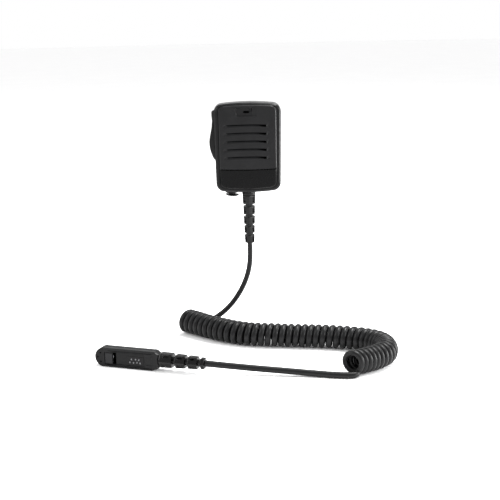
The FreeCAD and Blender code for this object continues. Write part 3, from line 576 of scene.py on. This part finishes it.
def seam(x):
    """Height of the curved seam between the two panels."""
    return -21.15 - 1.6 * (1 - (x / 40.0) ** 2)


def slot_share(x):
    """How much of its depth a slot has at x: it fades in at the left and ends sharply at the right."""
    left, right = SLOT_ENDS
    return ease(left - 1.6, left + 0.4, x) * (1 - ease(right - 0.1, right + 0.3, x))


def dimple(x, z, slot):
    """Shallow round marks at both ends of a slot."""
    depth = 0.0
    for at_x, at_z, strength in ((18.3, -0.2, 0.75), (-20.6, -0.4, 0.45)):
        reach = math.hypot(x - at_x, z - slot - at_z) / 1.35
        depth += strength * max(0.0, 1 - reach ** 2)
    return depth


def recess(x, z):
    """Depth of the recess round the microphone's port.

    It has a slanted wall at the left, a short rib, and a step at the right.
    """
    left = -11.3 + 1.5 * (32.6 - z) / 7.0
    rib = ease(28.8, 29.2, z) * (ease(1.9, 2.5, x) - ease(2.8, 3.3, x))
    return 1.1 * ease(left, left + 0.6, x) - 0.6 * ease(3.7, 4.5, x) - 0.5 * ease(8.0, 8.8, x) - 0.9 * rib


def opening(x):
    """Height of a slot: slim at the left, full at the right end."""
    return 0.85 + 1.0 * ease(6.0, SLOT_ENDS[1], x) - 0.25 * (1 - ease(-19.0, -12.0, x))


def slot_curves(outline, columns, slot):
    """Curves across one slot, from the ramp under it to the flat above it."""

    def bowed(x):
        return slot + 0.5 * (1 - (x / 20.0) ** 2)

    def marks(x, z):
        return dimple(x, z, slot)

    def lip(x, z):
        return max(0.85 * slot_share(x), dimple(x, z, slot))

    def inside(x, z):
        return max(SLOT_DEPTH * slot_share(x), dimple(x, z, slot))

    steps = (
        (lambda x: bowed(x) - 2.5, flush),
        (lambda x: bowed(x) - 1.6, marks),
        (lambda x: bowed(x) + 0.75 - opening(x), lip),
        (lambda x: bowed(x) + 0.79 - opening(x), inside),
        (lambda x: bowed(x) + 0.71, inside),
        (lambda x: bowed(x) + 0.75, marks),
        (lambda x: bowed(x) + 1.5, flush),
    )
    return [outline.curve(columns, height, depth) for height, depth in steps]


def make_grille_panel():
    """Upper panel with the sound slots and the microphone's port in its recess."""
    outline = PanelOutline(26.4, 34.8, 1.1)
    left, right = SLOT_ENDS
    slot_ends = (left - 0.8, left - 0.3, right - 0.1, right + 0.1, right + 0.3)
    port_walls = [end + side for end in PORT_ENDS for side in (-0.03, 0.03)]
    recess_walls = [-11.6 + 0.3 * step for step in range(12)]
    recess_walls += [1.9, 2.2, 2.5, 2.8, 3.05, 3.3, 3.7, 4.0, 4.25, 4.5, 8.0, 8.4, 8.8]
    dimples = [centre + 0.25 * step for centre in (18.3, -20.6) for step in range(-6, 7)]
    columns = outline.columns(0.74, *slot_ends, *port_walls, *recess_walls, *dimples)

    def port(x, z):
        return SLOT_DEPTH if PORT_ENDS[0] < x < PORT_ENDS[1] else recess(x, z)

    curves = [outline.curve(columns, seam, lambda x, z: 0.4),
              outline.curve(columns, lambda x: seam(x) + 0.35, flush)]
    counts = [2]
    for number in range(SLOTS):
        curves += slot_curves(outline, columns, SLOT_FIRST + SLOT_PITCH * number)
        counts += [4, 2, 3, 1, 2, 1, 2]
    top = ((25.4, flush, 4), (25.8, recess, 1), (27.9, recess, 2), (27.95, port, 1), (28.8, port, 1),
           (29.2, port, 1), (30.15, port, 1), (30.2, recess, 1), (32.5, recess, 2), (32.9, flush, 1))
    for height, depth, count in top:
        curves.append(outline.curve(columns, lambda x, height=height: height, depth))
        counts.append(count)
    far = outline.far_curves(columns)
    curves += far
    counts += [1] * len(far)
    # Faces deep in the slots, the port and the joint line take the second material: near-black painted shade.
    shape = Shape().slab(blended(in_order(curves), counts), PANEL_FRONT, 1.0, PANEL_THICK, PANEL_SHADE_DEPTH)
    piece("grille_front", shape.mesh("grille_front", 28.0), (PANEL, SHADE_BLACK), "housing",
          ("grille_panel",))


def make_lower_front():
    """Smooth panel under the grille; it is worked out upside down, with the seam as its near edge."""
    outline = PanelOutline(26.1, 39.3, 1.7)
    columns = outline.columns(1.1)
    curves = [outline.curve(columns, lambda x: 0.45 - seam(x), lambda x, z: 0.35),
              outline.curve(columns, lambda x: 0.75 - seam(x), flush)]
    far = outline.far_curves(columns)
    rows = blended(in_order(curves + far), [2, 12] + [1] * (len(far) - 1))
    rows = [[(x, depth, -z) for x, depth, z in row] for row in rows]
    # The joint line round the panel takes the second material: near-black painted shade.
    shape = Shape().slab(rows, PANEL_FRONT, 1.0, PANEL_THICK, PANEL_SHADE_DEPTH)
    piece("lower_front", shape.mesh("lower_front", 28.0), (LOWER, SHADE_BLACK), "housing",
          ("lower_panel",))


def make_cap():
    """Soft cap of the earpiece socket: a thin brim that droops outwards, a neck and a hinge tab."""
    bottom = span("jack_cap")[0].z
    axis = Matrix.Translation((-15.3, HEAD_MIDDLE, bottom)) @ Matrix.Rotation(math.radians(4.0), 4, "Y")
    profile = ((0.01, 0.5), (2.6, 0.45), (3.0, 0.15), (4.7, 0.1), (5.9, 0.9), (6.3, 1.35), (6.15, 1.75),
               (5.2, 1.9), (3.1, 2.05), (3.0, 3.2), (2.3, 3.3), (2.3, 4.7), (0.01, 4.8))
    shape = Shape().lathe(profile, 72, axis)
    tab = ((-16.7, -10.0), (-13.9, -10.0), (-13.9, -6.0), (-16.7, -6.0))
    shape.loft([[Vector((x, y, bottom + rise)) for x, y in tab] for rise in (1.1, 2.6)])
    cap = piece("socket_cap", shape.mesh("socket_cap", 35.0), (CAP,), "jack_cover",
                ("jack_cap",))
    soften(cap, 0.25)


def push_profile(z):
    """How far left of the middle the push-to-talk pad reaches: a bulge low down and a nub on top."""
    heights = (-15.4, -12.8, -10.8, -7.5, -4.2, -1.0, 2.0, 5.5, 9.4, 15.0, 21.0, 25.6, 28.8, 30.0, 30.6)
    widths = (29.4, 31.4, 32.4, 33.5, 34.3, 34.7, 34.8, 34.4, 33.6, 32.4, 31.9, 32.4, 32.4, 32.1, 31.0)
    return float(np.interp(z, heights, widths))


def make_push_pad():
    """Rubber pad of the push-to-talk bar, with upright ribs across its grip."""
    low, high = span("ptt_button")
    inner = high.x
    middle = (low.y + high.y) / 2
    half = (high.y - low.y) / 2
    steps = 48
    roundness = 0.42
    rings = []
    for z in stations(low.z, high.z, 0.5):
        far = -sum(push_profile(z + off) for off in (-0.8, -0.4, 0.0, 0.4, 0.8)) / 5
        grip = ease(-9.0, -4.0, z) * (1 - ease(18.0, 24.0, z))
        end = min(z - low.z, high.z - z)
        squeeze = 0.6 * max(0.0, 1 - end / 1.2) ** 2
        ring = [(inner, middle + half - squeeze, z)]
        for step in range(steps + 1):
            turn = math.pi / 2 - math.pi * step / steps
            across = math.copysign(abs(math.sin(turn)) ** roundness, math.sin(turn))
            y = middle + (half - squeeze) * across
            x = inner + (far - inner + squeeze) * abs(math.cos(turn)) ** roundness
            rib = 0.16 * grip * math.cos(step * math.pi / 2) * ease(0.1, 0.5, abs(x - inner) / 8)
            ring.append((x - rib * abs(math.cos(turn)), y + rib * math.sin(turn), z))
        ring.append((inner, middle - half + squeeze, z))
        rings.append([Vector(point) for point in ring])
    piece("push_pad", Shape().loft(rings).mesh("push_pad", 40.0), (PAD,), "ptt_bar",
          ("ptt_button",))


# ---------------------------------------------------------------- strain reliefs

def facet(angle):
    """Six rounded facets with a ridge to the front; 1 at the sides."""
    off = (angle + math.pi / 6) % (math.pi / 3) - math.pi / 6
    return (1 / math.cos(math.pi / 6 - abs(off))) ** 0.7


# Along a segment of a boot: share of its length, and how much its radius is trimmed there.
SEGMENT_TRIM = ((0.0, 0.3), (0.05, 0.06), (0.1, 0.0), (0.24, 0.0), (0.34, 0.0), (0.5, 0.0), (0.66, 0.0),
                (0.76, 0.0), (0.9, 0.0), (0.95, 0.06), (1.0, 0.3))


def boot_rings(start, along, front, lengths, radii, core, web_share, lead_in):
    """Rings of a tapered boot.

    It has faceted segments, parted at both sides by notches that leave a web at the front and the back.
    """
    side = along.cross(front)
    stops = [(position, lambda angle, radius=radius: radius) for position, radius in lead_in]
    position = 0.0
    for number, length in enumerate(lengths):
        first, last = radii[number // 2]
        if number % 2:
            web = web_share * min(radii[number // 2][1], radii[number // 2 + 1][0])

            def notch(angle, web=web):
                return min(web, core / max(0.05, abs(math.sin(angle))))

            stops += [(position + 0.02, notch), (position + length - 0.02, notch)]
        else:
            for share, trim in SEGMENT_TRIM:
                sunk = 1.7 * (1 - ease(0.16, 0.26, abs(share - 0.5))) if length > 5 else 0.0

                def segment(angle, radius=first + (last - first) * share - trim, sunk=sunk):
                    off_front = math.degrees(math.acos(min(1.0, abs(math.cos(angle)))))
                    pit = max(0.0, 1 - (off_front - 47.0) ** 2 / 170.0)
                    return radius * facet(angle) - sunk * pit

                stops.append((position + length * share, segment))
        position += length
    rings = []
    for reach, radius in stops:
        ring = []
        for step in range(120):
            angle = 2 * math.pi * step / 120
            outward = math.cos(angle) * front + math.sin(angle) * side
            ring.append(start + reach * along + radius(angle) * outward)
        rings.append(ring)
    return rings


def make_head_boot():
    """Strain relief under the head: a collar with rings, then five segments."""
    low = span("head_strain_relief")[0].z
    lengths = (8.3, 1.9, 7.7, 1.9, 7.2, 1.9, 6.4, 1.9, 7.5)
    radii = ((6.1, 5.7), (5.55, 5.35), (5.3, 5.15), (5.0, 4.9), (4.75, 4.4))
    lead_in = ((-12.9, 4.0), (-7.9, 4.0), (-7.88, 5.8), (-6.3, 5.8), (-6.28, 4.4), (-3.5, 4.4), (-3.48, 6.1),
               (-2.0, 6.2), (-1.95, 5.8), (-1.55, 5.8), (-1.5, 6.15), (-0.5, 6.1), (-0.45, 5.7), (-0.1, 5.7))
    start = Vector((0.0, HEAD_MIDDLE, low + sum(lengths)))
    rings = boot_rings(start, Vector((0, 0, -1)), Vector((0, -1, 0)), lengths, radii, 3.3, 0.95, lead_in)
    piece("head_boot", Shape().loft(rings).mesh("head_boot", 32.0), (RELIEF,), "housing",
          ("head_strain_relief",))


# ---------------------------------------------------------------- connector

# The connector's own frame: +X from the cord's end to the nose, +Y out of its broad face, +Z up.
PLUG_FRAME = Matrix.Translation((-76.0, -127.2, -167.6)) @ Matrix.Rotation(math.radians(161.0), 4, "Z")
PLUG_FACE = 5.0
PLUG_HALF = 8.4


def plug_rear(z):
    """Where the connector's body ends at the rear, with its lower corner cut back further than the upper."""
    return 0.5 + 3.6 * ease(6.2, 8.4, z) + 7.0 * max(0.0, (-z - 4.4) / 4.0)


def shell_depth(x, z):
    """Depth of the connector's broad face: a raised rim, a sunk plate, a deep gap and the latch's opening;
    the gap and the opening go deep enough to take the painted shade.
    """
    depth = max(0.0, 1.3 - (PLUG_HALF - abs(z))) * 0.9
    if 13.6 < x < 41.2 and abs(z) < 5.4:
        depth = 1.0
    if 39.9 < x < 42.7 and -5.6 < z < 5.2:
        depth = 3.6
    if 42.6 < x < 49.5 and abs(z) < 4.6:
        depth = 4.9
    if 6.5 < x < 12.6 and abs(z) < 3.8:
        depth = max(depth, 0.5 * ease(6.5, 7.2, x) * (1 - ease(11.9, 12.6, x)))
    if 6.0 < abs(z) < 6.6 and 6.0 < x < 47.0:
        depth = max(depth, 0.7)
    if 42.0 < x < 50.6 and -6.2 < z < -5.2 or 50.0 < x < 50.6 and -6.2 < z < 5.0:
        depth = max(depth, 1.6)
    return depth


def make_plug_shell():
    """Front half of the connector's body, with the sunk field of the plate and the latch's opening."""
    edges_x = (13.6, 39.9, 41.2, 42.0, 42.6, 49.5, 50.0, 50.6, 6.5, 12.6, 6.0, 47.0)
    edges_z = (5.4, 5.2, 5.0, 4.6, 3.8, 6.0, 6.2, 6.6, 7.1)
    columns = stations(0.5, 51.5, 1.0, *[edge + side for edge in edges_x for side in (-0.03, 0.03)],
                       0.9, 1.3, 1.8, 6.8, 7.2, 11.9, 12.2)
    walls = [sign * edge + side for edge in edges_z for sign in (-1, 1) for side in (-0.03, 0.03)]
    heights = stations(-PLUG_HALF, PLUG_HALF, 0.7, *walls, -5.63, -5.57, -8.2, -7.9, 7.9, 8.2)
    rows = []
    for z in heights:
        rear = plug_rear(z)
        row = []
        for x in columns:
            placed = x if x > 8 else rear + (x - 0.5) * (8 - rear) / 7.5
            depth = max(shell_depth(x, z), 1.3 - (placed - rear), 0.0)
            row.append((placed, depth, z))
        rows.append(row)
    # Faces deeper than 3 mm, in the gap and the latch's opening, take the second material: near-black painted
    # shade.
    shape = Shape().slab(rows, PLUG_FACE, -1.0, 4.98, 3.0, PLUG_FRAME)
    return piece("plug_shell", shape.mesh("plug_shell", 30.0), (PLUG, SHADE_BLACK), "housing",
                 ("connector_shell",))


def plug_box(low, high):
    """Eight corners of a box given in the connector's own frame, as two rings for a loft."""
    corners = ((low[0], low[2]), (high[0], low[2]), (high[0], high[2]), (low[0], high[2]))
    return [[PLUG_FRAME @ Vector((x, y, z)) for x, z in corners] for y in (low[1], high[1])]


def make_plug_plate():
    """Sunk plate of the connector with a step and two rows of short raised grips."""
    shape = Shape().loft(plug_box((13.8, 4.0, -5.2), (39.8, 4.5, 5.2)))
    shape.loft(plug_box((14.2, 4.2, -3.7), (29.6, 4.8, 3.0)))
    plate = piece("plug_plate", shape.mesh("plug_plate", 30.0), (PLATE,), "housing",
                  ("connector_side_plate",))
    soften(plate, 0.15)
    raised = Shape()
    places = ((25.4, 0.5), (21.6, 0.7), (18.6, 0.4),
              (26.9, -2.2), (23.6, -2.4), (20.4, -1.9), (17.6, -2.3))
    for x, z in places:
        raised.loft(plug_box((x - 0.55, 4.7, z - 0.7), (x + 0.55, 5.15, z + 0.7)))
    grips = piece("plug_grips", raised.mesh("plug_grips", 30.0), (MARK,), "housing")
    soften(grips, 0.2)
    return [plate, grips]


def make_plug_boot():
    """Strain relief at the connector: four segments."""
    turn = PLUG_FRAME.to_3x3()
    lengths = (11.1, 2.9, 8.6, 2.6, 8.1, 2.9, 3.2)
    radii = ((6.2, 6.0), (5.7, 5.4), (5.3, 5.1), (4.7, 4.4))
    start = PLUG_FRAME @ Vector((0.3, 0.0, 1.2))
    backward, front = turn @ Vector((-1, 0, 0)), turn @ Vector((0, 1, 0))
    rings = boot_rings(start, backward, front, lengths, radii, 2.4, 0.62, ())
    return piece("plug_boot", Shape().loft(rings).mesh("plug_boot", 32.0), (RELIEF,), "housing",
                 ("connector_strain_relief",))


# ---------------------------------------------------------------- the cord

CORD_DIAMETER = 5.0 * MM
# The tails' thickness, as a share of the cord's diameter.
HEAD_TAIL_SCALE = 0.97
PLUG_TAIL_SCALE = 1.08

# Route of the free cord: down from the head, along the axis of the coil, and on to the connector.
HEAD_TAIL = [
    (0.0, -0.0145, -0.092),
    (0.0005, -0.0145, -0.108),
    (-0.003, -0.0143, -0.125),
    (-0.0111, -0.0138, -0.142),
    (-0.0229, -0.0132, -0.157),
    (-0.0385, -0.0124, -0.168),
    (-0.0555, -0.0162, -0.1726),
]
COIL_AXIS = [
    (-0.06, -0.0205, -0.1655),
    (-0.0375, -0.042, -0.1655),
    (-0.012, -0.0615, -0.1655),
    (0.022, -0.0685, -0.1655),
    (0.058, -0.0725, -0.1655),
    (0.0975, -0.0825, -0.1655),
    (0.1144, -0.1, -0.1655),
    (0.1135, -0.124, -0.1655),
    (0.0985, -0.1405, -0.1655),
    (0.0806, -0.15, -0.1655),
]
PLUG_TAIL = [
    (0.0855, -0.1555, -0.1728),
    (0.0800, -0.1575, -0.1733),
    (0.066, -0.155, -0.1734),
    (0.0468, -0.1504, -0.1728),
    (0.0208, -0.1463, -0.1713),
    (-0.0054, -0.1438, -0.1693),
    (-0.03903, -0.13993, -0.1664),
]

TURNS = 45.95
POINTS_A_TURN = 16
# Along the coil, from the head's end to the connector's: share of its length, outer diameter, relative pitch,
# and how thick the strand is, as a share of the cord's diameter.
COIL_FORM = (
    (0.00, 22.6 * MM, 5.7, 1.12),
    (0.10, 21.9 * MM, 5.8, 1.14),
    (0.30, 20.9 * MM, 5.95, 1.17),
    (0.50, 20.6 * MM, 6.0, 1.19),
    (0.62, 20.5 * MM, 6.3, 1.22),
    (0.68, 20.5 * MM, 6.1, 1.18),
    (0.76, 20.6 * MM, 5.3, 1.04),
    (0.86, 20.8 * MM, 4.7, 0.97),
    (1.00, 21.2 * MM, 4.6, 0.96),
)
# The last turns lean towards this heading, and the lean starts at this share of the coil.
LAST_HEADING = math.radians(-116.0)
LEAN_FROM = 0.88


def nurbs(name, points, resolution):
    """Curve of one open NURBS spline of order 3 that starts and ends on its first and last points."""
    curve = bpy.data.curves.new(name, "CURVE")
    curve.dimensions = "3D"
    curve.resolution_u = resolution
    spline = curve.splines.new("NURBS")
    spline.points.add(len(points) - 1)
    for place, point in zip(spline.points, points):
        place.co = (*point, 1.0)
    spline.order_u = 3
    spline.use_endpoint_u = True
    return curve


def line_of(points):
    """Points read from the NURBS spline of a route, in order."""
    thing = put("route", nurbs("route", points, 24))
    bpy.context.view_layer.update()
    line = bpy.data.meshes.new_from_object(thing)
    places = np.array([vertex.co for vertex in line.vertices], float)
    bpy.data.objects.remove(thing)
    bpy.data.meshes.remove(line)
    return places


def helix(axis):
    """Turns of the curly cord round its axis, and the strand's thickness at each point.

    Each turn starts at the bottom and goes up the right-hand side of the way the axis runs.
    """
    line = line_of(axis)
    steps = np.linalg.norm(np.diff(line, axis=0), axis=1)
    reached = np.concatenate([[0.0], np.cumsum(steps)])
    length = reached[-1]
    marks = np.linspace(0.0, length, 4001)
    shares = marks / length
    form = np.array(COIL_FORM)
    pitch = np.interp(shares, form[:, 0], form[:, 2])
    # No two turns of a used cord lie quite alike.
    pitch *= 1 + 0.016 * np.sin(shares * 61.0) + 0.01 * np.sin(shares * 143.0 + 1.0)
    phase = np.concatenate([[0.0], np.cumsum(1 / pitch[1:])])
    phase *= TURNS / phase[-1]
    # A spline of order 3 cuts inside its control points, and this makes up for it.
    bow = 1 / (0.75 + 0.25 * math.cos(2 * math.pi / POINTS_A_TURN))

    def axis_at(reach):
        return Vector([np.interp(reach, reached, line[:, k]) for k in range(3)])

    points = []
    scales = []
    for number in range(int(TURNS * POINTS_A_TURN) + 1):
        turned = number / POINTS_A_TURN
        reach = float(np.interp(turned, phase, marks))
        share = reach / length
        centre = axis_at(reach)
        heading = axis_at(reach + 0.001) - axis_at(reach - 0.001)
        course = math.atan2(heading.y, heading.x)
        away = (LAST_HEADING - course + math.pi) % (2 * math.pi) - math.pi
        course += away * ease(LEAN_FROM, 1.0, share)
        right = Vector((math.sin(course), -math.cos(course), 0.0))
        outer = float(np.interp(share, form[:, 0], form[:, 1]))
        scale = float(np.interp(share, form[:, 0], form[:, 3]))
        radius = (outer - scale * CORD_DIAMETER) / 2 * bow * (1 + 0.012 * math.sin(reach * 900.0))
        centre.z = FLOOR_Z + outer / 2 + 0.0001
        angle = 2 * math.pi * turned
        points.append(centre + radius * (math.sin(angle) * right - math.cos(angle) * Vector((0, 0, 1))))
        scales.append(scale)
    return points, scales


def make_cord():
    """The whole cord as one tube: the head's tail, the curly part and the connector's tail."""
    turns, scales = helix(COIL_AXIS)
    scales = [HEAD_TAIL_SCALE] * len(HEAD_TAIL) + scales + [PLUG_TAIL_SCALE] * len(PLUG_TAIL)
    route = HEAD_TAIL + [tuple(point) for point in turns] + PLUG_TAIL
    curve = nurbs("curly_cord", route, 4)
    curve.bevel_depth = CORD_DIAMETER / 2
    curve.bevel_resolution = 6
    curve.use_fill_caps = True
    for place, scale in zip(curve.splines[0].points, scales):
        place.radius = scale
    thing = put("curly_cord", curve)
    curve.materials.append(JACKET)
    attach(thing, "housing")
    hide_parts("cord_head_tail", "cord_coil", "cord_connector_tail")


# ---------------------------------------------------------------- floor, light and camera

# Where the lights point, in metres.
LIT_PLACE = Vector((0.0, -0.05, -0.08))


def make_floor():
    """Flat round floor, large enough to reach the horizon of the picture."""
    turn = [2 * math.pi * step / 96 for step in range(96)]
    rings = []
    for radius in (0.001, 150.0, 600.0, 2000.0, 12000.0):
        rings.append([Vector((radius * math.cos(a), radius * math.sin(a), FLOOR_Z / MM)) for a in turn])
    floor = put("floor", Shape().loft(rings, caps=False).mesh("floor", 60.0))
    floor.data.flip_normals()
    floor.data.materials.append(pale_floor())


def area_light(name, at, size, power):
    """Rectangular light, turned towards the middle of the object."""
    light = bpy.data.lights.new(name, "AREA")
    light.shape = "RECTANGLE"
    light.size, light.size_y = size
    light.energy = power
    thing = put(name, light)
    thing.location = at
    thing.rotation_euler = (LIT_PLACE - Vector(at)).to_track_quat("-Z", "Y").to_euler()


def make_light():
    """White surroundings, a soft light overhead and narrow ones that draw the edges."""
    world = bpy.data.worlds.new("studio")
    world.use_nodes = True
    world.node_tree.nodes["Background"].inputs["Color"].default_value = (1.0, 1.0, 1.0, 1.0)
    world.node_tree.nodes["Background"].inputs["Strength"].default_value = 1.0
    bpy.context.scene.world = world
    area_light("overhead", (0.45, 0.15, 1.3), (0.9, 0.5), 40.0)
    area_light("right", (1.3, 0.02, 0.12), (0.25, 0.9), 26.0)
    area_light("front right", (1.15, -0.75, 0.1), (0.16, 0.8), 12.0)
    area_light("left", (-1.2, -0.35, 0.7), (0.2, 0.8), 8.0)


def make_camera():
    """Camera a little above the head, looking down, with the slight roll that leans the head to the left."""
    pitch = math.radians(12.7)
    roll = math.radians(1.2)
    forward = Vector((0.0, math.cos(pitch), -math.sin(pitch)))
    level = Vector((1.0, 0.0, 0.0))
    up = level.cross(forward)
    right = math.cos(roll) * level - math.sin(roll) * up
    top = math.cos(roll) * up + math.sin(roll) * level
    camera = bpy.data.cameras.new("camera")
    camera.sensor_width = 36.0
    camera.lens = 73.6
    thing = put("camera", camera)
    turn = Matrix((right, top, -forward)).transposed().to_4x4()
    thing.matrix_world = Matrix.Translation((-0.00005, -0.9421, 0.1095)) @ turn
    bpy.context.scene.camera = thing


# ---------------------------------------------------------------- the whole scene

bpy.context.scene.view_settings.view_transform = "Standard"
make_camera()
make_light()
make_floor()
dress_nodes()
make_grille_panel()
make_lower_front()
make_push_pad()
make_cap()
make_head_boot()
plug_pieces = [make_plug_shell(), make_plug_boot(), *make_plug_plate()]
make_cord()
